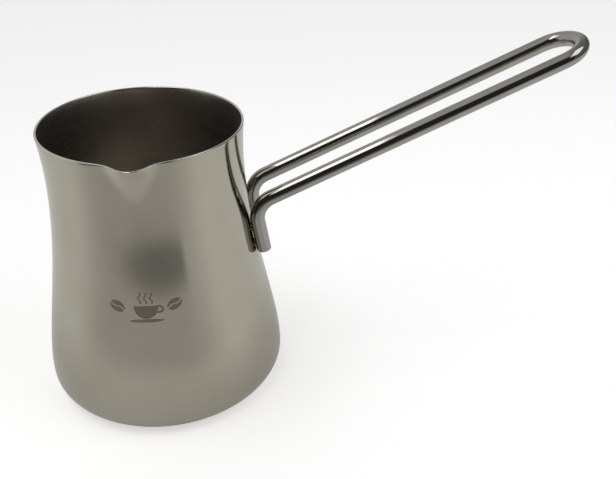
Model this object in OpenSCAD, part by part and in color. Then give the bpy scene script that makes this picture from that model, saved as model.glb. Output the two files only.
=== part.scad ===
// Turkish coffee pot (cezve): a drawn steel pot with a bent rod handle welded to its wall.
// Millimetres. The base stands on z = 0, centred on the origin, and the handle points along +X.

/* [Pot] */
// Height from the table to the top of the rim
body_h = 95.2; // [78:0.1:120]
// Outer diameter at the belly, the widest place
belly_d = 84.2; // [70:0.1:102]
// Outer diameter across the rim
rim_d = 64.4; // [53:0.1:78]
// Angle by which the rim flares outwards
rim_flare = 6.4; // [0:0.1:12]
// Length of wall below the rim over which the neck is drawn in
neck_pull = 32.4; // [26:0.1:40]
// Length of wall above the base corner over which the belly stays upright
belly_pull = 16.6; // [12:0.1:22]
// Outer radius of the corner between base and belly
corner_r = 7; // [4:0.1:9]
// Thickness of the wall
wall_t = 0.8; // [0.6:0.05:1.2]
// Thickness of the base
base_t = 1; // [0.6:0.05:2]

/* [Pour lip] */
// Direction of the lip, counted from the handle, seen from above
lip_angle = -94; // [-120:1:-60]
// Distance by which the lip stands out past the rim
lip_out = 3.2; // [2:0.1:5]
// Distance by which the tip of the lip dips below the rim
lip_dip = 0.5; // [0.2:0.1:1]
// Distance below the rim at which the lip leaves the wall
lip_drop = 13; // [9:0.1:17]
// Outer radius of the lip's rounded tip
lip_r = 5; // [4:0.1:6.5]

/* [Handle] */
// Diameter of the round rod
rod_d = 5; // [4:0.1:6.5]
// Diameter that the rod loses where it is bent
bend_thinning = 0.04; // [0.02:0.01:0.2]
// Distance between the centre lines of the two arms
arm_gap = 17.4; // [13:0.1:22]
// Straight length of an arm, from the crook's bend to the end loop
arm_l = 103.4; // [80:0.1:135]
// Upward slope of the arms
arm_slope = 23.2; // [15:0.1:35]
// Distance from the rim down to the crook, where arm and leg centre lines cross
crook_drop = 28; // [22:0.1:34]
// Centre-line radius of the bend at the crook
crook_r = 8; // [6:0.1:10]
// Length of a leg, from the crook down the wall to its cut end
leg_l = 17.3; // [15:0.1:23]

/* [Welds] */
// Gap between a leg and the wall, which the weld nuggets fill
weld_gap = 0.15; // [0.05:0.01:0.3]
// Diameter of a weld nugget
weld_d = 3; // [2:0.1:4]
// Distance from each end of a leg's straight length to the centre of a nugget
weld_inset = 2.5; // [1.5:0.1:3]

/* [Hidden] */
$fn = 96;
FINE = 360;
POT_STEEL = [0.7, 0.69, 0.66];
ROD_STEEL = [0.82, 0.82, 0.81];
WELD_STEEL = [0.5, 0.46, 0.42];
WALL_STEPS = 24;
CORNER_STEPS = 8;
CREST_STEPS = 6;
TOUCH_STEPS = 8;
OVERRUN = 5;
LAP = 0.2;
SIDES = [-1, 1];
belly_r = belly_d / 2;
rod_r = rod_d / 2;
bend_d = rod_d - bend_thinning;

// ---- Pot wall: an arc at the base corner, then one curve on four guide points up to the rim ----

rim_edge = [rim_d / 2, body_h] - wall_t / 2 * [1 - cos(rim_flare), 1 + sin(rim_flare)];
GUIDE = [
    [belly_r, corner_r],
    [belly_r, corner_r + belly_pull],
    rim_edge - neck_pull * [sin(rim_flare), cos(rim_flare)],
    rim_edge,
];

function curve(t) =
    pow(1 - t, 3) * GUIDE[0] + 3 * t * pow(1 - t, 2) * GUIDE[1]
    + 3 * t * t * (1 - t) * GUIDE[2] + pow(t, 3) * GUIDE[3];

function heading(t) =
    let (run = pow(1 - t, 2) * (GUIDE[1] - GUIDE[0]) + 2 * t * (1 - t) * (GUIDE[2] - GUIDE[1])
        + t * t * (GUIDE[3] - GUIDE[2]))
    run / norm(run);

// Where along the curve the wall passes height z, found by halving
function place(z, low = 0, high = 1, tries = 20) =
    let (middle = (low + high) / 2)
    tries == 0 ? middle
        : curve(middle)[1] < z ? place(z, middle, high, tries - 1) : place(z, low, middle, tries - 1);

function wall_radius(z) = curve(place(z))[0];

// The wall's outline at a depth below its outer surface, from the base corner up
function wall_line(depth) = [
    for (i = [1:WALL_STEPS])
        let (t = i / WALL_STEPS, way = heading(t))
        curve(t) + depth * [-way[1], way[0]]
];

// The base corner's outline at a depth below the wall and above the table
function corner_line(depth, lift) = [
    for (i = [0:CORNER_STEPS])
        let (a = 90 * i / CORNER_STEPS)
        [belly_r - corner_r + (corner_r - depth) * sin(a), corner_r - (corner_r - lift) * cos(a)]
];

// The half-round crest of a wall that ends at an outer edge with an outward lean
function crest(edge, lean) = [
    for (i = [1:CREST_STEPS])
        let (a = 180 * i / CREST_STEPS - lean)
        edge - wall_t / 2 * [cos(lean), -sin(lean)] + wall_t / 2 * [cos(a), sin(a)]
];

function backwards(points) = [for (i = [len(points) - 1:-1:0]) points[i]];

module pot_shell() {
    outside = concat([[0, 0]], corner_line(0, 0), wall_line(0));
    inside = concat([[0, base_t]], corner_line(wall_t, base_t), wall_line(wall_t));
    rotate_extrude() polygon(concat(outside, crest(rim_edge, rim_flare), backwards(inside)));
}

// Everything inside the wall's outline at a depth, run up past the rim
module pot_core(depth) {
    line = concat(corner_line(depth, depth), wall_line(depth));
    neck = line[len(line) - 1][0];
    rotate_extrude()
        polygon(concat([[0, depth]], line, [[neck, body_h + OVERRUN], [0, body_h + OVERRUN]]));
}

// ---- Pour lip: a leaning cone that grows out of the wall ----

lip_tip = [rim_d / 2 + lip_out, body_h - wall_t / 2 - lip_dip];
lip_lean = atan(lip_dip / lip_r);
lip_start = [wall_radius(body_h - lip_drop), body_h - lip_drop];
lip_spread = atan2(lip_tip[0] - lip_start[0], lip_tip[1] - lip_start[1]) - lip_lean;
lip_h = lip_r / tan(lip_spread);

module place_lip() {
    top = lip_tip - lip_r * [cos(lip_lean), -sin(lip_lean)];
    rotate([0, 0, lip_angle]) translate([top[0], 0, top[1]]) rotate([0, lip_lean, 0])
        translate([0, 0, -lip_h]) children();
}

module lip_shell() {
    cone_end = [lip_r, lip_h];
    inner_point = [0, wall_t / sin(lip_spread)];
    place_lip() rotate_extrude()
        polygon(concat([[0, 0], cone_end], crest(cone_end, lip_spread), [inner_point]));
}

module lip_core(depth) {
    apex = depth / sin(lip_spread);
    tall = lip_h + OVERRUN - apex;
    place_lip() translate([0, 0, apex]) cylinder(h = tall, r1 = 0, r2 = tall * tan(lip_spread));
}

module pot_body() {
    color(POT_STEEL) {
        difference() {
            pot_shell();
            lip_core(wall_t / 2);
        }
        difference() {
            lip_shell();
            pot_core(wall_t / 2);
        }
    }
}

// ---- Handle: one rod bent to a loop, whose two legs lie along the wall ----

// Distance from the pot's axis, along X, at which a leg's centre line clears the wall at height z
function leg_reach(z) = sqrt(pow(wall_radius(z) + rod_r + weld_gap, 2) - pow(arm_gap / 2, 2));

crook_z = body_h - crook_drop;
leg_foot_z = crook_z - leg_l;
touch_h = leg_l - crook_r;
leg_lean = atan((leg_reach(leg_foot_z) - leg_reach(leg_foot_z + touch_h)) / touch_h);
foot_x = max([
    for (i = [0:TOUCH_STEPS])
        let (up = touch_h * i / TOUCH_STEPS)
        leg_reach(leg_foot_z + up) + up * tan(leg_lean)
]);
crook_x = foot_x - leg_l * tan(leg_lean);
crook_turn = 90 + leg_lean - arm_slope;
crook_cut = crook_r * tan(crook_turn / 2);
leg_straight = leg_l / cos(leg_lean) - crook_cut;

// Works in the loop's own frame: the crook at the origin and the arms along +X
module place_loop() {
    translate([crook_x, 0, crook_z]) rotate([0, -arm_slope, 0]) children();
}

// Works in the upright plane of one side, turned about the centre of that side's crook
module place_crook(side) {
    place_loop() translate([0, side * arm_gap / 2, 0]) rotate([90, 0, 0])
        translate([crook_cut, -crook_r, 0]) rotate([0, 0, 90]) children();
}

module crook(side) {
    place_crook(side) rotate_extrude(angle = crook_turn) translate([crook_r, 0]) circle(d = bend_d);
}

// Leg and arm run on into the thinner bends by a lap, so that the rod is one solid
module leg(side) {
    place_crook(side) rotate([0, 0, crook_turn]) translate([crook_r, -LAP, 0]) rotate([-90, 0, 0])
        cylinder(h = LAP + leg_straight, d = rod_d);
}

module arm(side) {
    place_loop() translate([crook_cut - LAP, side * arm_gap / 2, 0])
        rotate([0, 90, 0]) cylinder(h = LAP + arm_l + LAP, d = rod_d);
}

module end_loop() {
    place_loop() translate([crook_cut + arm_l, 0, 0])
        rotate([0, 0, -90]) rotate_extrude(angle = 180) translate([arm_gap / 2, 0]) circle(d = bend_d);
}

module loop_handle() {
    color(ROD_STEEL) {
        for (side = SIDES) {
            leg(side);
            crook(side);
            arm(side);
        }
        end_loop();
    }
}

// ---- Weld nuggets: two on each leg, filling the gap to the wall ----

module nugget(side, along) {
    x = foot_x - along * sin(leg_lean);
    z = leg_foot_z + along * cos(leg_lean);
    y = side * arm_gap / 2;
    difference() {
        translate([x, y, z]) rotate([0, 0, atan2(y, x)]) rotate([0, -90, 0])
            cylinder(h = rod_r + weld_gap + wall_t, d = weld_d);
        leg(side);
        pot_core(0);
    }
}

module handle_welds() {
    $fn = FINE;
    color(WELD_STEEL)
        for (side = SIDES, along = [weld_inset, leg_straight - weld_inset])
            nugget(side, along);
}

pot_body();
loop_handle();
handle_welds();
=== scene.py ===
"""A bell-shaped steel coffee pot with a pressed pour lip and a long handle bent from round rod.

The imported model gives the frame: the pot stands on z = 0 around the origin and the handle points
along +X. Everything here is in metres, in that same frame.
"""

from __future__ import annotations
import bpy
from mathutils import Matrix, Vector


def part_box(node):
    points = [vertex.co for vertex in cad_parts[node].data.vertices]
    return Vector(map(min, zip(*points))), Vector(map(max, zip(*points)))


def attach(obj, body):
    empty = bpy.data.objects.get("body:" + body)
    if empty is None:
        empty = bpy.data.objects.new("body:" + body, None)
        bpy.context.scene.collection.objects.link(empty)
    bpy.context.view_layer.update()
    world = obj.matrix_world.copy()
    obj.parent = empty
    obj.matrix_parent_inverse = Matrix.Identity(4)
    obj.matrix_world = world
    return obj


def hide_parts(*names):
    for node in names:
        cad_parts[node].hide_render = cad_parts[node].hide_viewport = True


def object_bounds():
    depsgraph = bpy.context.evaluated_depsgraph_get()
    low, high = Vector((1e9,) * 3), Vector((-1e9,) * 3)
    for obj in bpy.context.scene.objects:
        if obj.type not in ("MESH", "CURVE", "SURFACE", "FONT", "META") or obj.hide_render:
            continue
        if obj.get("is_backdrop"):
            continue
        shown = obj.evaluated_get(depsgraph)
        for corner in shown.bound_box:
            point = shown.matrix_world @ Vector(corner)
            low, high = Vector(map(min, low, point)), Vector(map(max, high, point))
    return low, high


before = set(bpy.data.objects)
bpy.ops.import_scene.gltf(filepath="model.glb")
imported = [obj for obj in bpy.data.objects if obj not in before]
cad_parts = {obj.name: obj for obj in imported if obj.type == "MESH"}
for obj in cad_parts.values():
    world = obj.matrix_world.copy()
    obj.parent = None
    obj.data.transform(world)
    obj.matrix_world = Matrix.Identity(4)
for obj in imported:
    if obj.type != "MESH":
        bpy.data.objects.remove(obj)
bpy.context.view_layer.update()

import logging
import math
from dataclasses import dataclass, field
from enum import Enum
from typing import Callable

import bmesh
import bpy
from mathutils import Matrix, Vector

MM = 0.001
MERGE_DIST = 1e-6
HALVINGS = 30
NOISE_MEAN = 0.5
Colour = tuple[float, float, float, float]
Place = tuple[float, float, float]
Span = tuple[float, float]
log = logging.getLogger("coffee_pot")


class Zone(Enum):
    """The parts of the pot's surface that are finished in their own way."""

    OUTSIDE = 0
    RIM = 1
    INSIDE = 2


# ---------------------------------------------------------------------------- small helpers


def finish_piece(name: str, bm: bmesh.types.BMesh,
                 materials: list[bpy.types.Material]) -> bpy.types.Object:
    """Turns a bmesh into a smooth-shaded object of the scene.

    Args:
        name: Name of the new object.
        bm: The mesh, which is freed.
        materials: Materials for the object's slots, in order.

    Returns:
        The new object, at the origin.
    """
    mesh = bpy.data.meshes.new(name)
    bm.to_mesh(mesh)
    bm.free()
    mesh.shade_smooth()
    for material in materials:
        mesh.materials.append(material)
    piece = bpy.data.objects.new(name, mesh)
    bpy.context.scene.collection.objects.link(piece)
    return piece


def chain(bm: bmesh.types.BMesh, points: list[Place]) -> list[bmesh.types.BMEdge]:
    """Adds an open line of edges through some points.

    Args:
        bm: The mesh to add to.
        points: The places that the line passes, in order.

    Returns:
        The new edges.
    """
    verts = [bm.verts.new(point) for point in points]
    return [bm.edges.new(pair) for pair in zip(verts, verts[1:])]


# ---------------------------------------------------------------------------- node building


class NodeTree:
    """Builds a node tree in a few words per node."""

    def __init__(self, tree: bpy.types.NodeTree) -> None:
        """Starts on a tree that may already hold nodes."""
        self.tree = tree

    def node(self, kind: str, **settings: object) -> bpy.types.Node:
        """Adds a node and sets its properties.

        Args:
            kind: Blender's name for the node type, without the ShaderNode in front.
            settings: Properties of the node, by name.

        Returns:
            The new node.
        """
        made = self.tree.nodes.new(kind if kind.startswith("Node") else "ShaderNode" + kind)
        for key, value in settings.items():
            setattr(made, key, value)
        return made

    def link(self, source: object, target: bpy.types.NodeSocket) -> None:
        """Feeds a socket from another socket, or sets it to a constant.

        Args:
            source: A socket, or a number, vector or colour.
            target: The input socket.
        """
        if isinstance(source, bpy.types.NodeSocket):
            self.tree.links.new(source, target)
        else:
            target.default_value = source

    def math(self, operation: str, *inputs: object, clamp: bool = False) -> bpy.types.NodeSocket:
        """Adds a Math node.

        Args:
            operation: The operation's name, such as MULTIPLY.
            inputs: Sockets or numbers, in the node's order.
            clamp: Whether the result is held between 0 and 1.

        Returns:
            The node's output.
        """
        made = self.node("Math", operation=operation, use_clamp=clamp)
        for value, socket in zip(inputs, made.inputs):
            self.link(value, socket)
        return made.outputs[0]

    def ease(self, value: object, low: float, high: float) -> bpy.types.NodeSocket:
        """Eases a value from 0 at low to 1 at high.

        Args:
            value: The value to ease.
            low: Where the result is 0; it may lie above high.
            high: Where the result is 1.

        Returns:
            The eased value.
        """
        made = self.node("MapRange", interpolation_type="SMOOTHSTEP")
        if low > high:
            low, high = high, low
            made.inputs["To Min"].default_value = 1.0
            made.inputs["To Max"].default_value = 0.0
        self.link(value, made.inputs["Value"])
        made.inputs["From Min"].default_value = low
        made.inputs["From Max"].default_value = high
        return made.outputs["Result"]

    def mix_colour(self, factor: object, first: object, second: object) -> bpy.types.NodeSocket:
        """Mixes two colours.

        Args:
            factor: Share of the second colour.
            first: The first colour.
            second: The second colour.

        Returns:
            The mixed colour.
        """
        made = self.node("Mix", data_type="RGBA")
        self.link(factor, made.inputs[0])
        self.link(first, made.inputs[6])
        self.link(second, made.inputs[7])
        return made.outputs[2]

    def combine(self, x: object, y: object, z: object) -> bpy.types.NodeSocket:
        """Makes a vector of three values.

        Args:
            x: The first value.
            y: The second value.
            z: The third value.

        Returns:
            The vector.
        """
        made = self.node("CombineXYZ")
        for value, socket in zip((x, y, z), made.inputs):
            self.link(value, socket)
        return made.outputs[0]

    def separate(self, vector: object) -> list[bpy.types.NodeSocket]:
        """Splits a vector into its three values.

        Args:
            vector: The vector.

        Returns:
            Its x, y and z.
        """
        made = self.node("SeparateXYZ")
        self.link(vector, made.inputs[0])
        return list(made.outputs)

    def length(self, x: object, y: object) -> bpy.types.NodeSocket:
        """Returns the length of a vector of two values."""
        return self.math("SQRT", self.math("ADD", self.math("POWER", x, 2.0), self.math("POWER", y, 2.0)))

    def noise(self, vector: object, detail: float, rough: float) -> bpy.types.NodeSocket:
        """Adds a noise texture of one cell per unit.

        Args:
            vector: Where the noise is read.
            detail: How many finer layers are added.
            rough: How strong the finer layers are.

        Returns:
            The noise's value.
        """
        made = self.node("TexNoise")
        self.link(vector, made.inputs["Vector"])
        made.inputs["Scale"].default_value = 1.0
        made.inputs["Detail"].default_value = detail
        made.inputs["Roughness"].default_value = rough
        return made.outputs["Fac"]


class EffectLibrary:
    """Node groups that several steels share, each built once."""

    def __init__(self) -> None:
        """Starts with no groups built."""
        self.built: dict[str, bpy.types.NodeTree] = {}

    def group(self, name: str, inputs: list[str],
              make: Callable[[NodeTree, dict], object]) -> bpy.types.NodeTree:
        """Returns a node group, and builds it the first time.

        Args:
            name: The group's name.
            inputs: Names of its inputs: Position is a vector and every other one a number.
            make: Builds the inside and returns the socket that is the group's result.

        Returns:
            The group's node tree, with one output named Value.
        """
        if name not in self.built:
            tree = bpy.data.node_groups.new(name, "ShaderNodeTree")
            for label in inputs:
                kind = "NodeSocketVector" if label == "Position" else "NodeSocketFloat"
                tree.interface.new_socket(label, in_out="INPUT", socket_type=kind)
            tree.interface.new_socket("Value", in_out="OUTPUT", socket_type="NodeSocketFloat")
            inside = NodeTree(tree)
            start = inside.node("NodeGroupInput")
            end = inside.node("NodeGroupOutput")
            result = make(inside, {label: start.outputs[label] for label in inputs})
            inside.link(result, end.inputs["Value"])
            self.built[name] = tree
        return self.built[name]

    def turning_lines(self) -> bpy.types.NodeTree:
        """Fine rings round the z axis, as a spinning tool or a polishing belt leaves them.

        Returns:
            The group. Its Lines input is the number of noise cells per metre across the rings.
        """
        drift = 18.0  # noise cells per metre along the rings

        def make(t: NodeTree, at: dict) -> object:
            """Draws noise out along the rings by scaling it up across them.

            Args:
                t: The group's tree.
                at: The group's inputs, by name.

            Returns:
                The strength of the lines.
            """
            x, y, z = t.separate(at["Position"])
            across = t.math("MULTIPLY", t.math("ADD", t.length(x, y), z), at["Lines"])
            place = t.combine(t.math("MULTIPLY", x, drift), t.math("MULTIPLY", y, drift), across)
            return t.noise(place, detail=3.0, rough=0.7)

        return self.group("turning_lines", ["Position", "Lines"], make)

    def blotches(self) -> bpy.types.NodeTree:
        """Soft uneven patches, as wiping and handling leave on polished steel.

        Returns:
            The group. Its Scale input is the number of patches per metre.
        """

        def make(t: NodeTree, at: dict) -> object:
            """Samples a noise at the asked scale.

            Args:
                t: The group's tree.
                at: The group's inputs, by name.

            Returns:
                The strength of the patches.
            """
            scaled = t.node("VectorMath", operation="SCALE")
            t.link(at["Position"], scaled.inputs[0])
            t.link(at["Scale"], scaled.inputs["Scale"])
            return t.noise(scaled.outputs[0], detail=4.0, rough=0.55)

        return self.group("blotches", ["Position", "Scale"], make)

    def hairlines(self) -> bpy.types.NodeTree:
        """Sparse fine scratches that run in a few directions.

        Returns:
            The group, a mask.
        """
        stretch = (2600.0, 60.0, 900.0)
        turns_and_seeds = ((0.35, 0.0), (1.25, 3.1), (2.3, 7.7))
        tumble = 1.7
        crest_low, crest_high = 0.70, 0.78

        def make(t: NodeTree, at: dict) -> object:
            """Keeps the crests of three noises that are stretched different ways.

            Args:
                t: The group's tree.
                at: The group's inputs, by name.

            Returns:
                The mask.
            """
            layers = []
            for turn, seed in turns_and_seeds:
                place = t.node("Mapping")
                t.link(at["Position"], place.inputs["Vector"])
                place.inputs["Rotation"].default_value = (turn, seed, turn * tumble)
                place.inputs["Location"].default_value = (seed, turn, seed)
                place.inputs["Scale"].default_value = stretch
                crests = t.noise(place.outputs[0], detail=1.0, rough=0.4)
                layers.append(t.ease(crests, crest_low, crest_high))
            return t.math("MAXIMUM", t.math("MAXIMUM", layers[0], layers[1]), layers[2])

        return self.group("hairlines", ["Position"], make)

    def specks(self) -> bpy.types.NodeTree:
        """A few tiny round specks of dust.

        Returns:
            The group, a mask.
        """
        cells_per_metre = 70.0
        dot_edge, dot_core = 0.034, 0.018
        empty_share, speck_share = 0.80, 0.82

        def make(t: NodeTree, at: dict) -> object:
            """Puts a dot at the middle of some cells.

            Args:
                t: The group's tree.
                at: The group's inputs, by name.

            Returns:
                The mask.
            """
            cells = t.node("TexVoronoi", feature="F1")
            t.link(at["Position"], cells.inputs["Vector"])
            cells.inputs["Scale"].default_value = cells_per_metre
            draw = t.node("SeparateColor")
            t.link(cells.outputs["Color"], draw.inputs[0])
            dot = t.ease(cells.outputs["Distance"], dot_edge, dot_core)
            return t.math("MULTIPLY", dot, t.ease(draw.outputs[0], empty_share, speck_share))

        return self.group("specks", ["Position"], make)

    def etched_emblem(self) -> bpy.types.NodeTree:
        """A steaming cup between two coffee beans.

        Returns:
            The group, a mask. Across and Up are the distances from the emblem's centre, in
            millimetres along the wall.
        """
        blur = 0.05
        oval_blur = 0.06
        brim = 0.7
        bowl_radii = (3.7, 4.1)
        ear_centre, ear_outer, ear_inner = (3.9, -0.5), (1.5, 1.3), (0.9, 0.75)
        saucer_centre, saucer_radii = (0.0, -4.3), (5.2, 0.55)
        wisp_gap, wisp_edge, wisp_core = 0.9, 0.30, 0.18
        sway_rate, sway_reach = 2.3, 0.35
        steam_foot, steam_top, steam_side = (1.4, 1.8), (5.6, 5.0), (2.6, 2.4)
        bean_centre, bean_turn, bean_radii = (8.9, 0.6, 0.0), (0.0, 0.0, 0.5), (2.5, 1.75)
        groove_rate, groove_reach, groove_edge, groove_core = 1.5, 0.3, 0.32, 0.2

        def make(t: NodeTree, at: dict) -> object:
            """Adds up the cup, its steam and the beans.

            Args:
                t: The group's tree.
                at: The group's inputs, by name.

            Returns:
                The mask.
            """
            across, up = at["Across"], at["Up"]
            aside = t.math("ABSOLUTE", across)
            here = t.combine(across, up, 0.0)

            def oval(place: object, centre: Span, radii: Span) -> object:
                """Draws an oval.

                Args:
                    place: Where the drawing is read.
                    centre: The oval's centre.
                    radii: Its radii across and up.

                Returns:
                    Its mask.
                """
                shift = t.node("VectorMath", operation="SUBTRACT")
                t.link(place, shift.inputs[0])
                shift.inputs[1].default_value = (*centre, 0.0)
                squeeze = t.node("VectorMath", operation="DIVIDE")
                t.link(shift.outputs[0], squeeze.inputs[0])
                squeeze.inputs[1].default_value = (*radii, 1.0)
                reach = t.node("VectorMath", operation="LENGTH")
                t.link(squeeze.outputs[0], reach.inputs[0])
                return t.ease(reach.outputs["Value"], 1.0 + oval_blur, 1.0 - oval_blur)

            def without(whole: object, part: object) -> object:
                """Cuts one shape out of another."""
                return t.math("MULTIPLY", whole, t.math("SUBTRACT", 1.0, part))

            def wave(value: object, rate: float, reach: float) -> object:
                """Returns a sine wave of a value."""
                return t.math("MULTIPLY", t.math("SINE", t.math("MULTIPLY", value, rate)), reach)

            below_brim = t.ease(up, brim + blur, brim - blur)
            bowl = t.math("MULTIPLY", oval(here, (0.0, brim), bowl_radii), below_brim)
            ear = without(oval(here, ear_centre, ear_outer), oval(here, ear_centre, ear_inner))
            saucer = oval(here, saucer_centre, saucer_radii)
            swayed = t.math("ADD", across, wave(up, sway_rate, sway_reach))
            wisp = t.math("ABSOLUTE", t.math("WRAP", swayed, wisp_gap, -wisp_gap))
            steam = t.math("MULTIPLY", t.ease(wisp, wisp_edge, wisp_core), t.ease(up, *steam_foot))
            steam = t.math("MULTIPLY", steam, t.ease(up, *steam_top))
            steam = t.math("MULTIPLY", steam, t.ease(aside, *steam_side))
            turned = t.node("Mapping", vector_type="TEXTURE")
            t.link(t.combine(aside, up, 0.0), turned.inputs["Vector"])
            turned.inputs["Location"].default_value = bean_centre
            turned.inputs["Rotation"].default_value = bean_turn
            bean_x, bean_y, _ = t.separate(turned.outputs[0])
            seam = t.math("ABSOLUTE", t.math("ADD", bean_y, wave(bean_x, groove_rate, groove_reach)))
            groove = t.ease(seam, groove_edge, groove_core)
            bean = without(oval(turned.outputs[0], (0.0, 0.0), bean_radii), groove)
            mask = t.math("MAXIMUM", t.math("MAXIMUM", bowl, ear), t.math("MAXIMUM", saucer, steam))
            return t.math("MAXIMUM", mask, bean, clamp=True)

        return self.group("etched_emblem", ["Across", "Up"], make)

    def near_line(self) -> bpy.types.NodeTree:
        """Nearness to the two legs' weld line, for x above 0.

        Returns:
            The group: 1 on the line and 0 a Reach away. Gap is half the distance between the legs
            and Height the middle of the welds.
        """
        upright_share = 0.45
        falloff = 1.5
        front = 0.01

        def make(t: NodeTree, at: dict) -> object:
            """Eases off with the distance from the line in the plane of Y and Z.

            Args:
                t: The group's tree.
                at: The group's inputs, by name.

            Returns:
                The nearness.
            """
            x, y, z = t.separate(at["Position"])
            aside = t.math("SUBTRACT", t.math("ABSOLUTE", y), at["Gap"])
            up = t.math("MULTIPLY", t.math("SUBTRACT", z, at["Height"]), upright_share)
            share = t.math("DIVIDE", t.length(aside, up), at["Reach"])
            near = t.math("SUBTRACT", 1.0, share, clamp=True)
            return t.math("MULTIPLY", t.math("POWER", near, falloff), t.ease(x, 0.0, front))

        return self.group("near_line", ["Position", "Gap", "Height", "Reach"], make)


EFFECTS = EffectLibrary()


# ---------------------------------------------------------------------------- finishes


@dataclass(frozen=True)
class Emblem:
    """Where the etched emblem sits on the pot's wall, and what etching does to the steel.

    Angles are in radians round the pot. The emblem ends at half_angle to either side.
    """

    azimuth: float
    height: float
    wall_radius: float
    colour: Colour
    depth: float
    cover: float = 0.85
    roughness: float = 0.22
    half_angle: float = 0.5
    edge_angle: float = 0.05

    def mask(self, t: NodeTree, position: bpy.types.NodeSocket) -> bpy.types.NodeSocket:
        """Wraps the emblem round the wall.

        Args:
            t: The material's tree.
            position: Socket with the position on the pot.

        Returns:
            The emblem's mask.
        """
        x, y, z = t.separate(position)
        turn = t.math("SUBTRACT", t.math("ARCTAN2", y, x), self.azimuth)
        up = t.math("SUBTRACT", z, self.height)
        placed = t.node("Group", node_tree=EFFECTS.etched_emblem())
        t.link(t.math("MULTIPLY", turn, self.wall_radius / MM), placed.inputs["Across"])
        t.link(t.math("MULTIPLY", up, 1 / MM), placed.inputs["Up"])
        near = t.ease(t.math("ABSOLUTE", turn), self.half_angle, self.half_angle - self.edge_angle)
        return t.math("MULTIPLY", placed.outputs["Value"], near)


@dataclass(frozen=True)
class Steel:
    """A polished stainless steel, with what making and use leave on it.

    Lengths are in metres. Zero strength leaves an effect out of the result.
    """

    name: str
    colour: Colour
    smudge_colour: Colour
    roughness: float
    smudge_roughness: float
    blotch_scale: float
    lines_per_metre: float
    line_height: float
    scratch_strength: float
    scratch_roughness: float
    smudge_cover: float = 0.8
    smudge_span: Span = (0.38, 0.68)
    line_roughness: float = 0.35
    tint: Colour = (0.17, 0.12, 0.085, 1.0)
    tint_roughness: float = 0.12
    tint_strength: float = 0.0
    tint_reach: float = 6.0 * MM
    tint_gap: float = 0.0
    tint_height: float = 0.0
    speck_colour: Colour = (0.05, 0.045, 0.04, 1.0)
    speck_strength: float = 0.0
    emblem: Emblem | None = None

    def build(self) -> bpy.types.Material:
        """Builds the material.

        Returns:
            The finished material.
        """
        material = bpy.data.materials.new(self.name)
        material.use_nodes = True
        material.node_tree.nodes.clear()
        t = NodeTree(material.node_tree)
        out = t.node("OutputMaterial")
        shader = t.node("BsdfPrincipled")
        t.link(shader.outputs[0], out.inputs["Surface"])
        shader.inputs["Metallic"].default_value = 1.0
        position = t.node("TexCoord").outputs["Object"]

        blotch = self.effect(t, EFFECTS.blotches(), position, Scale=self.blotch_scale)
        lines = self.effect(t, EFFECTS.turning_lines(), position, Lines=self.lines_per_metre)
        scratch = self.effect(t, EFFECTS.hairlines(), position)
        patch = t.ease(blotch, *self.smudge_span)
        uneven = t.math("SUBTRACT", lines, NOISE_MEAN)

        colour = t.mix_colour(t.math("MULTIPLY", patch, self.smudge_cover), self.colour, self.smudge_colour)
        rough = t.math("ADD", self.roughness, t.math("MULTIPLY", patch, self.smudge_roughness))
        rough = t.math("ADD", rough, t.math("MULTIPLY", uneven, self.roughness * self.line_roughness))
        rough = t.math("ADD", rough, t.math("MULTIPLY", scratch, self.scratch_roughness))
        height = t.math("ADD", t.math("MULTIPLY", lines, self.line_height),
                        t.math("MULTIPLY", scratch, -self.scratch_strength))

        if self.tint_strength:
            near = self.effect(t, EFFECTS.near_line(), position, Gap=self.tint_gap,
                               Height=self.tint_height, Reach=self.tint_reach)
            near = t.math("MULTIPLY", near, self.tint_strength)
            colour = t.mix_colour(near, colour, self.tint)
            rough = t.math("ADD", rough, t.math("MULTIPLY", near, self.tint_roughness))
        if self.speck_strength:
            speck = self.effect(t, EFFECTS.specks(), position)
            colour = t.mix_colour(t.math("MULTIPLY", speck, self.speck_strength), colour, self.speck_colour)
        if self.emblem:
            mask = self.emblem.mask(t, position)
            colour = t.mix_colour(t.math("MULTIPLY", mask, self.emblem.cover), colour, self.emblem.colour)
            rough = t.math("ADD", rough, t.math("MULTIPLY", mask, self.emblem.roughness))
            height = t.math("SUBTRACT", height, t.math("MULTIPLY", mask, self.emblem.depth))

        bump = t.node("Bump")
        bump.inputs["Strength"].default_value = 1.0
        bump.inputs["Distance"].default_value = 1.0
        t.link(height, bump.inputs["Height"])
        t.link(bump.outputs[0], shader.inputs["Normal"])
        t.link(colour, shader.inputs["Base Color"])
        t.link(rough, shader.inputs["Roughness"])
        return material

    def effect(self, t: NodeTree, group: bpy.types.NodeTree, position: bpy.types.NodeSocket,
               **values: float) -> bpy.types.NodeSocket:
        """Places a shared effect in this material.

        Args:
            t: The material's tree.
            group: The effect's node group.
            position: Socket with the position on the piece.
            values: Numbers for the group's other inputs.

        Returns:
            The effect's value.
        """
        placed = t.node("Group", node_tree=group)
        t.link(position, placed.inputs["Position"])
        for label, value in values.items():
            placed.inputs[label].default_value = value
        return placed.outputs["Value"]


# ---------------------------------------------------------------------------- the pot


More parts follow.
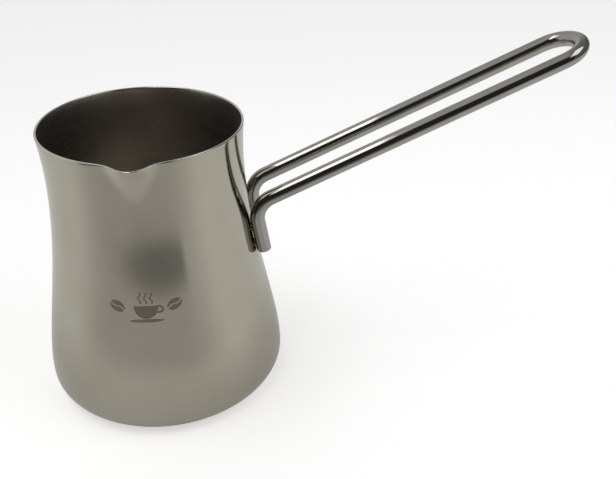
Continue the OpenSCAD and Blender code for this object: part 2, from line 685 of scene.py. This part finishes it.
@dataclass
class PotBody:
    """The drawn shell: base, bell-shaped wall, rounded rim and pressed pour lip, all one piece.

    The lip stands out by lip_out and dips by lip_dip, is lip_width wide between its half-way
    places at the rim and narrower by lip_taper where it leaves the wall, lip_fade below the rim.
    """

    height: float
    belly_r: float
    rim_r: float = 32.2 * MM
    rim_flare: float = math.radians(6.4)
    neck_pull: float = 32.4 * MM
    belly_pull: float = 16.6 * MM
    corner_r: float = 7.0 * MM
    wall: float = 0.8 * MM
    base: float = 1.0 * MM
    lip_azimuth: float = math.radians(-94.2)
    lip_out: float = 3.5 * MM
    lip_dip: float = 0.5 * MM
    lip_width: float = 9.0 * MM
    lip_fade: float = 14.0 * MM
    lip_taper: float = 0.45
    lip_roundness: float = 2.25
    out_growth: float = 1.5
    dip_growth: float = 6.0
    turns: int = 320
    wall_rows: int = 64
    corner_rows: int = 14
    crest_rows: int = 8
    base_rows: int = 5
    guide: list[Vector] = field(init=False)

    def __post_init__(self) -> None:
        """Works out the wall's four guide points, as radius and height."""
        lean = Vector((math.sin(self.rim_flare), math.cos(self.rim_flare)))
        half = self.wall / 2
        edge = Vector((self.rim_r - half * (1 - lean.y), self.height - half * (1 + lean.x)))
        start = Vector((self.belly_r, self.corner_r))
        self.guide = [start, start + Vector((0.0, self.belly_pull)), edge - self.neck_pull * lean, edge]

    @classmethod
    def from_frame(cls) -> PotBody:
        """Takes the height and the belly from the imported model's own pot."""
        low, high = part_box("pot_body")
        return cls(height=high[2], belly_r=max(-low[0], high[0], -low[1], high[1]))

    def wall_point(self, t: float) -> Vector:
        """Finds a place on the outer wall.

        Args:
            t: How far up, from 0 above the corner to 1 at the rim.

        Returns:
            The radius and the height there.
        """
        a, b, c, d = self.guide
        s = 1 - t
        return s**3 * a + 3 * s * s * t * b + 3 * s * t * t * c + t**3 * d

    def wall_heading(self, t: float) -> Vector:
        """Finds the way in which the outer wall runs.

        Args:
            t: How far up, from 0 above the corner to 1 at the rim.

        Returns:
            The direction, as radius and height.
        """
        a, b, c, d = self.guide
        s = 1 - t
        return (s * s * (b - a) + 2 * s * t * (c - b) + t * t * (d - c)).normalized()

    def radius_at(self, height: float) -> float:
        """Finds the outer wall's radius by halving.

        Args:
            height: A height above the base corner.

        Returns:
            The radius there.
        """
        low, high = 0.0, 1.0
        for _ in range(HALVINGS):
            middle = (low + high) / 2
            low, high = (middle, high) if self.wall_point(middle).y < height else (low, middle)
        return self.wall_point(low).x

    def wall_line(self, depth: float) -> list[Vector]:
        """Draws the wall's outline from the corner up.

        Args:
            depth: Distance below the outer surface.

        Returns:
            The outline's points, as radius and height.
        """
        line = []
        for i in range(1, self.wall_rows + 1):
            t = i / self.wall_rows
            way = self.wall_heading(t)
            line.append(self.wall_point(t) + depth * Vector((-way.y, way.x)))
        return line

    def corner_line(self, depth: float, lift: float) -> list[Vector]:
        """Draws the base corner's outline from the base up.

        Args:
            depth: Distance below the wall's outer surface.
            lift: Height above the table.

        Returns:
            The outline's points, as radius and height.
        """
        centre = Vector((self.belly_r - self.corner_r, self.corner_r))
        across, down = self.corner_r - depth, self.corner_r - lift
        turns = [math.pi / 2 * i / self.corner_rows for i in range(self.corner_rows + 1)]
        return [centre + Vector((across * math.sin(a), -down * math.cos(a))) for a in turns]

    def base_line(self, lift: float) -> list[Vector]:
        """Returns the flat base's outline from the axis out to the corner."""
        reach = self.belly_r - self.corner_r
        return [Vector((reach * i / self.base_rows, lift)) for i in range(self.base_rows)]

    def crest_line(self) -> list[Vector]:
        """Draws the rim's half-round crest.

        Returns:
            The crest's points, from the outer wall over to the inner one.
        """
        half = self.wall / 2
        lean = self.rim_flare
        centre = self.guide[3] - half * Vector((math.cos(lean), -math.sin(lean)))
        turns = [math.pi * i / self.crest_rows - lean for i in range(1, self.crest_rows)]
        return [centre + half * Vector((math.cos(a), math.sin(a))) for a in turns]

    def outline(self) -> list[Vector]:
        """Draws the shell's whole section.

        Returns:
            The section's points, from the axis outside round the rim to the axis inside.
        """
        outside = self.base_line(0.0) + self.corner_line(0.0, 0.0) + self.wall_line(0.0)
        inside = self.base_line(self.base) + self.corner_line(self.wall, self.base)
        inside += self.wall_line(self.wall)
        return outside + self.crest_line() + inside[::-1]

    def press_lip(self, bm: bmesh.types.BMesh) -> None:
        """Moves the wall out into the pour lip.

        Args:
            bm: The pot's mesh, which is changed in place.
        """
        for vert in bm.verts:
            rise = (vert.co.z - self.height + self.lip_fade) / self.lip_fade
            if rise <= 0:
                continue
            rise = min(rise, 1.0)
            turn = math.atan2(vert.co.y, vert.co.x) - self.lip_azimuth
            aside = abs(math.remainder(turn, 2 * math.pi)) * self.rim_r
            half = self.lip_width / 2 * (1 - self.lip_taper * (1 - rise))
            bell = 0.5 ** ((aside / half) ** self.lip_roundness)
            out = self.lip_out * bell * rise**self.out_growth
            down = self.lip_dip * bell * rise**self.dip_growth
            vert.co += Vector((vert.co.x, vert.co.y, 0.0)).normalized() * out - Vector((0.0, 0.0, down))

    def sort_zones(self, bm: bmesh.types.BMesh) -> None:
        """Gives each face the material slot of its zone.

        Args:
            bm: The pot's mesh before its lip is pressed.
        """
        for face in bm.faces:
            centre = face.calc_center_median()
            radial = Vector((centre.x, centre.y, 0.0)).normalized()
            outwards = 2 * face.normal.dot(radial)
            zone = Zone.OUTSIDE if outwards > face.normal.z else Zone.INSIDE
            if centre.z > self.height - self.wall / 2:
                zone = Zone.RIM
            face.material_index = zone.value

    def build(self, finishes: dict[Zone, bpy.types.Material]) -> bpy.types.Object:
        """Spins the section into the shell and presses its lip.

        Args:
            finishes: The material of each zone.

        Returns:
            The pot, riding on the frame and standing for its CAD node.
        """
        bm = bmesh.new()
        line = chain(bm, [(point.x, 0.0, point.y) for point in self.outline()])
        bmesh.ops.spin(bm, geom=list(bm.verts) + line, cent=(0, 0, 0), axis=(0, 0, 1), dvec=(0, 0, 0),
                       angle=2 * math.pi, steps=self.turns, use_merge=True, use_duplicate=False)
        bmesh.ops.remove_doubles(bm, verts=bm.verts, dist=MERGE_DIST)
        bmesh.ops.recalc_face_normals(bm, faces=bm.faces)
        bm.normal_update()
        self.sort_zones(bm)
        self.press_lip(bm)
        piece = finish_piece("pot_shell", bm, [finishes[zone] for zone in Zone])
        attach(piece, "root")
        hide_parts("pot_body")
        return piece


# ---------------------------------------------------------------------------- the handle


@dataclass
class LoopHandle:
    """One rod bent to a hairpin, whose two ends turn down as legs along the pot's wall."""

    pot: PotBody
    rod_r: float = 2.5 * MM
    arm_gap: float = 17.4 * MM
    arm: float = 103.4 * MM
    slope: float = math.radians(23.2)
    crook_drop: float = 28.0 * MM
    crook_r: float = 8.0 * MM
    leg: float = 17.3 * MM
    wall_gap: float = 0.15 * MM
    cut_bevel: float = 0.35 * MM
    facets: int = 48
    touch_steps: int = 8
    bevel_rows: int = 4
    leg_rows: int = 14
    bend_rows: int = 20
    arm_rows: int = 60
    crook: Vector = field(init=False)
    lean: float = field(init=False)

    def __post_init__(self) -> None:
        """Finds how the legs lean along the wall, and where the crook's centre lines cross."""
        crook_z = self.pot.height - self.crook_drop
        foot_z = crook_z - self.leg
        touch = self.leg - self.crook_r
        self.lean = math.atan((self.leg_reach(foot_z) - self.leg_reach(foot_z + touch)) / touch)
        heights = [touch * i / self.touch_steps for i in range(self.touch_steps + 1)]
        foot_x = max(self.leg_reach(foot_z + up) + up * math.tan(self.lean) for up in heights)
        self.crook = Vector((foot_x - self.leg * math.tan(self.lean), 0.0, crook_z))

    def leg_reach(self, height: float) -> float:
        """Returns how far along X a leg's centre line clears the wall at a height."""
        reach = self.pot.radius_at(height) + self.rod_r + self.wall_gap
        return math.sqrt(reach**2 - (self.arm_gap / 2) ** 2)

    def sweep(self, bm: bmesh.types.BMesh, ring: list, centre: Vector, axis: Vector, travel: Vector,
              angle: float, steps: int) -> list:
        """Carries the rod's open end on, round a bend or straight.

        Args:
            bm: The rod's mesh.
            ring: The edges and corners of the open end.
            centre: Centre of the bend.
            axis: Axis of the bend.
            travel: Way that a straight length goes, zero in a bend.
            angle: Angle of the bend, zero in a straight length.
            steps: Number of rings to add.

        Returns:
            The new open end.
        """
        return bmesh.ops.spin(bm, geom=ring, cent=centre, axis=axis, dvec=travel / steps, angle=angle,
                              steps=steps, use_duplicate=False)["geom_last"]

    def build(self, finish: bpy.types.Material) -> bpy.types.Object:
        """Bends one half of the loop from the foot to the middle of the end, and mirrors it.

        Args:
            finish: The rod's material.

        Returns:
            The handle, riding on the frame and standing for its CAD node.
        """
        zero = Vector((0.0, 0.0, 0.0))
        up_leg = Vector((-math.sin(self.lean), 0.0, math.cos(self.lean)))
        along_arm = Vector((math.cos(self.slope), 0.0, math.sin(self.slope)))
        above_arm = Vector((-math.sin(self.slope), 0.0, math.cos(self.slope)))
        turn = math.pi / 2 + self.lean - self.slope
        cut = self.crook_r * math.tan(turn / 2)
        straight = self.leg / math.cos(self.lean) - cut
        side = Vector((0.0, -self.arm_gap / 2, 0.0))
        foot = self.crook + side - up_leg * (cut + straight)

        bm = bmesh.new()
        place = Matrix.Translation(foot) @ up_leg.to_track_quat("Z", "Y").to_matrix().to_4x4()
        bmesh.ops.create_circle(bm, cap_ends=True, segments=self.facets, radius=self.rod_r, matrix=place)
        rim = list(bm.edges)
        ring = self.sweep(bm, list(bm.verts) + rim, zero, up_leg, up_leg * straight, 0.0, self.leg_rows)
        bmesh.ops.bevel(bm, geom=rim, offset=self.cut_bevel, offset_type="OFFSET", segments=self.bevel_rows,
                        profile=0.5, affect="EDGES", material=-1, clamp_overlap=True)
        ring = [part for part in ring if part.is_valid]
        bend = self.crook + side + along_arm * cut - above_arm * self.crook_r
        ring = self.sweep(bm, ring, bend, Vector((0.0, 1.0, 0.0)), zero, turn, self.bend_rows)
        ring = self.sweep(bm, ring, zero, along_arm, along_arm * self.arm, 0.0, self.arm_rows)
        end = self.crook + along_arm * (cut + self.arm)
        self.sweep(bm, ring, end, above_arm, zero, math.pi / 2, self.bend_rows)
        bmesh.ops.mirror(bm, geom=list(bm.verts) + list(bm.edges) + list(bm.faces), axis="Y",
                         merge_dist=10 * MERGE_DIST)
        bmesh.ops.remove_doubles(bm, verts=bm.verts, dist=MERGE_DIST)
        bmesh.ops.recalc_face_normals(bm, faces=bm.faces)
        piece = finish_piece("rod_loop", bm, [finish])
        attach(piece, "root")
        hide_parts("loop_handle")
        return piece


@dataclass
class WeldSpots:
    """The four nuggets between the legs and the wall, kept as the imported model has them."""

    node: str = "handle_welds"

    def dress(self, finish: bpy.types.Material) -> None:
        """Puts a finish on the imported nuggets.

        Args:
            finish: The nuggets' material.
        """
        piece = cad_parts[self.node]
        for slot in piece.material_slots:
            slot.material = finish


# ---------------------------------------------------------------------------- studio


@dataclass(frozen=True)
class SoftBox:
    """A lamp with a wide face that hangs level and shines down. Radiance is its face's brightness."""

    name: str
    place: Place
    size: Span
    radiance: float

    def hang(self) -> None:
        """Adds the lamp to the scene."""
        data = bpy.data.lights.new(self.name, "AREA")
        data.shape = "RECTANGLE"
        data.size, data.size_y = self.size
        data.energy = self.radiance * math.pi * self.size[0] * self.size[1]
        lamp = bpy.data.objects.new(self.name, data)
        lamp.location = self.place
        bpy.context.scene.collection.objects.link(lamp)


@dataclass
class Studio:
    """Pale floor, soft tent light, and the camera.

    The tent is open in front. The hidden cloth that the pot mirrors has painted shade in its colour:
    darker close round the pot's foot and ahead of the pot, with a painted dark shadow patch further
    ahead, and the cloth glows with that colour as well. A reach is a distance from the pot's axis, and
    a front is how squarely a place lies ahead of the pot, from 1 straight ahead to -1 behind it; both
    are given where an effect starts and where it is full. A side is the x and an up or a top the z of
    a direction to the tent, given the same way.
    """

    floor_size: float = 6.0
    paper: Colour = (0.90, 0.90, 0.90, 1.0)
    paper_glow: float = 0.60
    cloth: Colour = (0.66, 0.66, 0.65, 1.0)
    cloth_glow: float = 0.50
    cloth_depth: float = 0.4 * MM
    matt_roughness: float = 0.9
    matt_gloss: float = 0.1
    # painted shade: the hidden cloth is darker close round the pot's foot, fading out by 12 cm from the
    # axis
    painted_foot_shade: Colour = (0.52, 0.515, 0.505, 1.0)
    near_reach: Span = (0.12, 0.05)
    # painted shade: the hidden cloth ahead of the pot, towards the tent's open front, is darker
    shaded_cloth: Colour = (0.435, 0.428, 0.415, 1.0)
    shaded_reach: Span = (0.045, 0.15)
    shaded_front: Span = (0.25, 0.90)
    # painted shadow: a dark patch on the hidden cloth ahead of the pot, from about 22 cm out
    painted_front_shadow: Colour = (0.13, 0.13, 0.128, 1.0)
    dark_reach: Span = (0.2185, 0.2225)
    dark_front: Span = (0.62, 0.72)
    dark_turn: float = math.radians(-18.5)
    dark: Colour = (0.035, 0.03, 0.026, 1.0)
    opening_turn: float = math.radians(-12.0)
    opening_front: Span = (0.45, 0.75)
    opening_top: Span = (0.92, 0.82)
    wall: Colour = (0.62, 0.625, 0.62, 1.0)
    dim_wall: Colour = (0.14, 0.14, 0.138, 1.0)
    dim_wall_side: Span = (0.25, 0.75)
    ceiling: Colour = (0.57, 0.575, 0.57, 1.0)
    dim_ceiling: Colour = (0.23, 0.23, 0.228, 1.0)
    dim_ceiling_side: Span = (-0.2, 0.25)
    ceiling_up: Span = (0.35, 0.75)
    boxes: tuple[SoftBox, ...] = (
        SoftBox("ceiling_box", place=(-0.135, -0.09, 0.50), size=(0.15, 0.34), radiance=2.4),
        SoftBox("right_box", place=(0.37, -0.15, 0.50), size=(0.30, 0.40), radiance=1.6),
    )
    camera_place: Place = (0.01579, -0.22151, 0.18256)
    yaw: float = math.radians(9.62)
    pitch: float = math.radians(33.764)
    roll: float = math.radians(0.229)
    lens: float = 42.53
    sensor_width: float = 36.0
    shift: float = 0.054
    nearest: float = 0.01

    def floor_sheet(self, name: str, depth: float, material: bpy.types.Material) -> bpy.types.Object:
        """Adds a wide level sheet.

        Args:
            name: The sheet's name.
            depth: Depth below the table on which the pot stands.
            material: The sheet's material.

        Returns:
            The sheet, marked as part of the stage.
        """
        bm = bmesh.new()
        bmesh.ops.create_grid(bm, x_segments=1, y_segments=1, size=self.floor_size / 2)
        bmesh.ops.translate(bm, vec=(0.0, 0.0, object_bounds()[0][2] - depth), verts=bm.verts)
        piece = finish_piece(name, bm, [material])
        piece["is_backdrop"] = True
        return piece

    def matt(self, name: str, glow: float) -> tuple[bpy.types.Material, bpy.types.Node]:
        """Starts a matt material.

        Args:
            name: The material's name.
            glow: Share of its own colour that it gives off as light.

        Returns:
            The material and its shader.
        """
        material = bpy.data.materials.new(name)
        material.use_nodes = True
        shader = material.node_tree.nodes["Principled BSDF"]
        shader.inputs["Roughness"].default_value = self.matt_roughness
        shader.inputs["Specular IOR Level"].default_value = self.matt_gloss
        shader.inputs["Emission Strength"].default_value = glow
        return material, shader

    def ahead(self, t: NodeTree, x: object, y: object, turn: float) -> bpy.types.NodeSocket:
        """Finds how squarely a place lies ahead of the pot.

        Args:
            t: The tree to add to.
            x: The place's x.
            y: The place's y.
            turn: Angle by which straight ahead is turned about the pot.

        Returns:
            A value from 1 straight ahead to -1 behind.
        """
        least = 0.0001
        front = t.math("ADD", t.math("MULTIPLY", x, math.sin(turn)), t.math("MULTIPLY", y, -math.cos(turn)))
        return t.math("DIVIDE", front, t.math("MAXIMUM", t.length(x, y), least))

    def lay_cloth(self) -> None:
        """Lays the tent's cloth, which lights the pot and is mirrored in it but isn't seen itself."""
        material, shader = self.matt("tent_cloth", self.cloth_glow)
        t = NodeTree(material.node_tree)
        place = t.node("TexCoord").outputs["Object"]
        x, y, _ = t.separate(place)
        reach = t.length(x, y)
        ahead = self.ahead(t, x, y, self.opening_turn)
        # outside and beyond mark where the painted dark shadow patch lies, ahead of the pot past about 22
        # cm
        outside = t.ease(self.ahead(t, x, y, self.dark_turn), *self.dark_front)
        # where the painted shade lies: ahead of the pot, growing from 4.5 cm to 15 cm out
        shade = t.math("MULTIPLY", t.ease(ahead, *self.shaded_front), t.ease(reach, *self.shaded_reach))
        beyond = t.math("MULTIPLY", t.ease(reach, *self.dark_reach), outside)
        # painted shade close round the pot's foot
        colour = t.mix_colour(t.ease(reach, *self.near_reach), self.cloth, self.painted_foot_shade)
        # painted shade ahead of the pot
        colour = t.mix_colour(shade, colour, self.shaded_cloth)
        # painted dark shadow patch further ahead
        colour = t.mix_colour(beyond, colour, self.painted_front_shadow)
        t.link(colour, shader.inputs["Base Color"])
        # the cloth glows with its colour, the painted shade and shadow included
        t.link(colour, shader.inputs["Emission Color"])
        cloth = self.floor_sheet("tent_cloth", self.cloth_depth, material)
        cloth.visible_camera = False

    def lay_paper(self) -> None:
        """Lays the paper that is seen, which neither lights the pot nor is mirrored in it."""
        material, shader = self.matt("floor_paper", self.paper_glow)
        shader.inputs["Base Color"].default_value = self.paper
        shader.inputs["Emission Color"].default_value = self.paper
        paper = self.floor_sheet("floor_paper", 0.0, material)
        paper.visible_glossy = False
        paper.visible_diffuse = False
        paper.visible_shadow = False

    def tent(self) -> None:
        """Makes the world a white tent that is open, and dark, in front."""
        world = bpy.data.worlds.new("tent")
        bpy.context.scene.world = world
        world.use_nodes = True
        world.node_tree.nodes.clear()
        t = NodeTree(world.node_tree)
        x, y, z = t.separate(t.node("TexCoord").outputs["Generated"])
        walls = t.mix_colour(t.ease(x, *self.dim_wall_side), self.wall, self.dim_wall)
        ceiling = t.mix_colour(t.ease(x, *self.dim_ceiling_side), self.ceiling, self.dim_ceiling)
        inside = t.mix_colour(t.ease(z, *self.ceiling_up), walls, ceiling)
        front = t.ease(self.ahead(t, x, y, self.opening_turn), *self.opening_front)
        opening = t.math("MULTIPLY", front, t.ease(z, *self.opening_top))
        mirrored = t.mix_colour(opening, inside, self.dark)
        background = t.node("Background")
        shade = t.mix_colour(t.node("LightPath").outputs["Is Camera Ray"], mirrored, self.paper)
        t.link(shade, background.inputs["Color"])
        out = t.node("OutputWorld")
        t.link(background.outputs[0], out.inputs["Surface"])

    def camera(self) -> None:
        """Places the camera and makes it the scene's own."""
        level = math.cos(self.pitch)
        ahead = Vector((math.sin(self.yaw) * level, math.cos(self.yaw) * level, -math.sin(self.pitch)))
        right = Vector((math.cos(self.yaw), -math.sin(self.yaw), 0.0))
        up = right.cross(ahead)
        c, s = math.cos(self.roll), math.sin(self.roll)
        turn = Matrix((c * right + s * up, c * up - s * right, -ahead)).transposed().to_4x4()
        data = bpy.data.cameras.new("camera")
        data.sensor_width = self.sensor_width
        data.lens = self.lens
        data.shift_y = self.shift
        data.clip_start = self.nearest
        data.dof.use_dof = False
        camera = bpy.data.objects.new("camera", data)
        camera.matrix_world = Matrix.Translation(self.camera_place) @ turn
        bpy.context.scene.collection.objects.link(camera)
        bpy.context.scene.camera = camera

    def build(self) -> None:
        """Sets up floor, light and camera."""
        bpy.context.scene.view_settings.view_transform = "Standard"
        self.camera()
        self.lay_cloth()
        self.lay_paper()
        self.tent()
        for box in self.boxes:
            box.hang()


# ---------------------------------------------------------------------------- assembly


def pot_finishes(pot: PotBody, handle: LoopHandle) -> dict[Zone, bpy.types.Material]:
    """Builds the steel of the pot's three zones.

    Args:
        pot: The pot, for the place of the emblem.
        handle: The handle, for the place of the welds' heat tint.

    Returns:
        A material for each zone.
    """
    emblem_z = 48.4 * MM
    weld_share = 0.62
    weld_z = pot.height - handle.crook_drop - handle.leg * weld_share
    emblem = Emblem(azimuth=math.radians(-95.4), height=emblem_z, wall_radius=pot.radius_at(emblem_z),
                    colour=(0.30, 0.265, 0.20, 1.0), depth=0.02 * MM)
    outside = Steel(
        name="pot_outside_satin", colour=(0.515, 0.487, 0.415, 1.0), smudge_colour=(0.49, 0.46, 0.385, 1.0),
        roughness=0.075, smudge_roughness=0.025, blotch_scale=55.0, lines_per_metre=5200.0,
        line_height=0.0006 * MM, scratch_strength=0.001 * MM, scratch_roughness=0.04,
        tint_strength=0.8, tint_gap=handle.arm_gap / 2, tint_height=weld_z, speck_strength=0.5,
        emblem=emblem)
    rim = Steel(
        name="rim_burnished", colour=(0.62, 0.60, 0.56, 1.0), smudge_colour=(0.55, 0.53, 0.49, 1.0),
        roughness=0.14, smudge_roughness=0.05, blotch_scale=160.0, lines_per_metre=3000.0,
        line_height=0.0004 * MM, scratch_strength=0.001 * MM, scratch_roughness=0.05)
    inside = Steel(
        name="pot_inside_satin", colour=(0.61, 0.575, 0.53, 1.0), smudge_colour=(0.58, 0.54, 0.495, 1.0),
        roughness=0.28, smudge_roughness=0.02, blotch_scale=48.0, lines_per_metre=4200.0,
        line_height=0.0003 * MM, scratch_strength=0.0, scratch_roughness=0.05)
    return {Zone.OUTSIDE: outside.build(), Zone.RIM: rim.build(), Zone.INSIDE: inside.build()}


def rod_finish() -> bpy.types.Material:
    """Builds the handle's bright polished steel."""
    return Steel(
        name="rod_bright", colour=(0.41, 0.40, 0.375, 1.0), smudge_colour=(0.36, 0.35, 0.32, 1.0),
        roughness=0.07, smudge_roughness=0.05, blotch_scale=120.0, lines_per_metre=2500.0,
        line_height=0.0003 * MM, scratch_strength=0.001 * MM, scratch_roughness=0.08).build()


def weld_finish() -> bpy.types.Material:
    """Builds the heat-tinted steel of the weld nuggets."""
    return Steel(
        name="weld_tinted", colour=(0.34, 0.29, 0.23, 1.0), smudge_colour=(0.16, 0.12, 0.12, 1.0),
        roughness=0.42, smudge_roughness=0.12, blotch_scale=900.0, lines_per_metre=9000.0,
        line_height=0.01 * MM, scratch_strength=0.002 * MM, scratch_roughness=0.05).build()


def main() -> None:
    """Builds the studio and the pot, piece by piece, and reports each."""
    logging.basicConfig(level=logging.INFO, format="%(name)s: %(message)s")
    Studio().build()
    log.info("studio ready")
    pot = PotBody.from_frame()
    handle = LoopHandle(pot)
    shell = pot.build(pot_finishes(pot, handle))
    log.info("%s: %d faces, %.1f mm high", shell.name, len(shell.data.polygons), pot.height / MM)
    loop = handle.build(rod_finish())
    log.info("%s: %d faces, crook at x %.1f mm", loop.name, len(loop.data.polygons), handle.crook.x / MM)
    WeldSpots().dress(weld_finish())
    log.info("handle_welds dressed")


if __name__ == "__main__":
    main()
